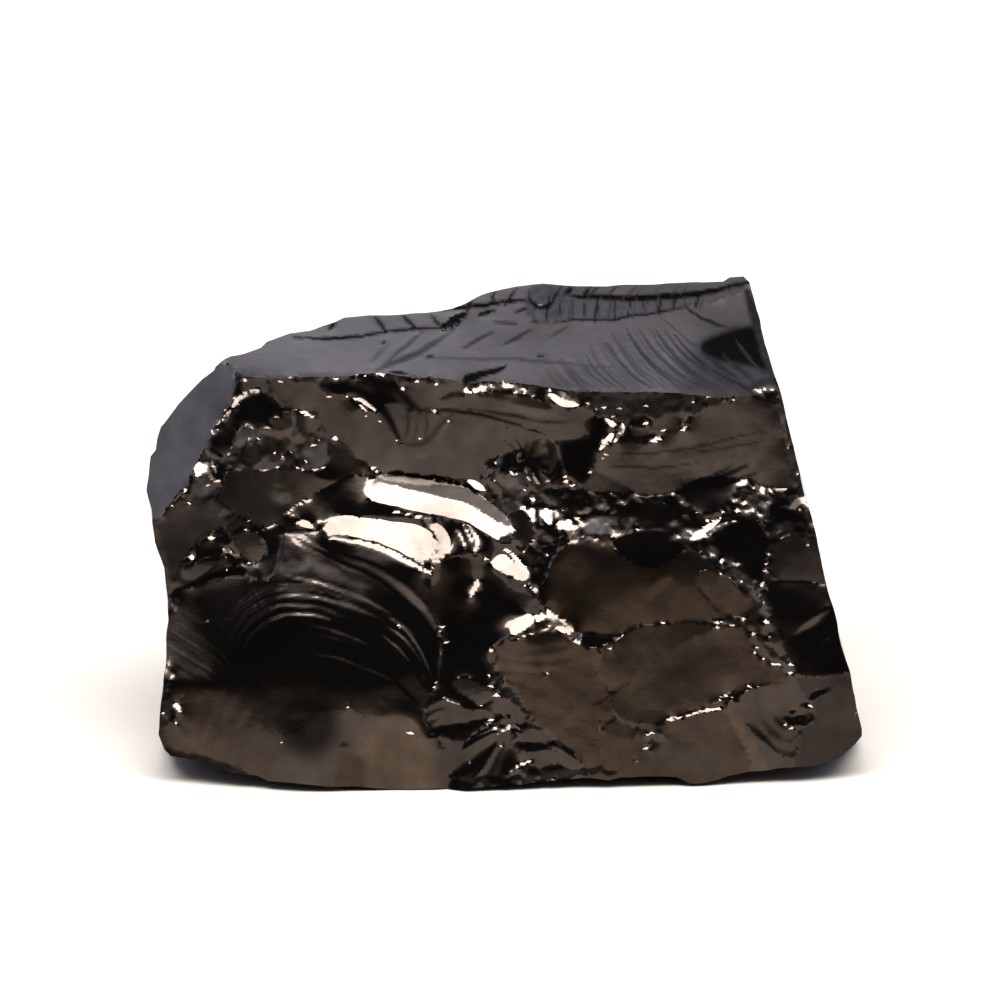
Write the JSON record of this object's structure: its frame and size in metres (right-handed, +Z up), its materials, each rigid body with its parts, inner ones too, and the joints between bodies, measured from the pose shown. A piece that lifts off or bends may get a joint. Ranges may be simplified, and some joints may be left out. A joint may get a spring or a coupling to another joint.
{
  "type": "shungite specimen",
  "caption": "Natural block of elite shungite: glassy black, conchoidal broken face, flat top with fine hackle lines, blocky wedge-like outline.",
  "frame": {"origin": "centre of the stone's bounding box, on the ground it rests on", "axes": "+X along the length of the stone, +Z up, the large broken face looking along -Y"},
  "size_m": [0.055, 0.0286, 0.0327],
  "materials": {
    "shungite": "glossy"
  },
  "bodies": {
    "root": {"shungite_block": "shungite"}
  },
  "joints": []
}
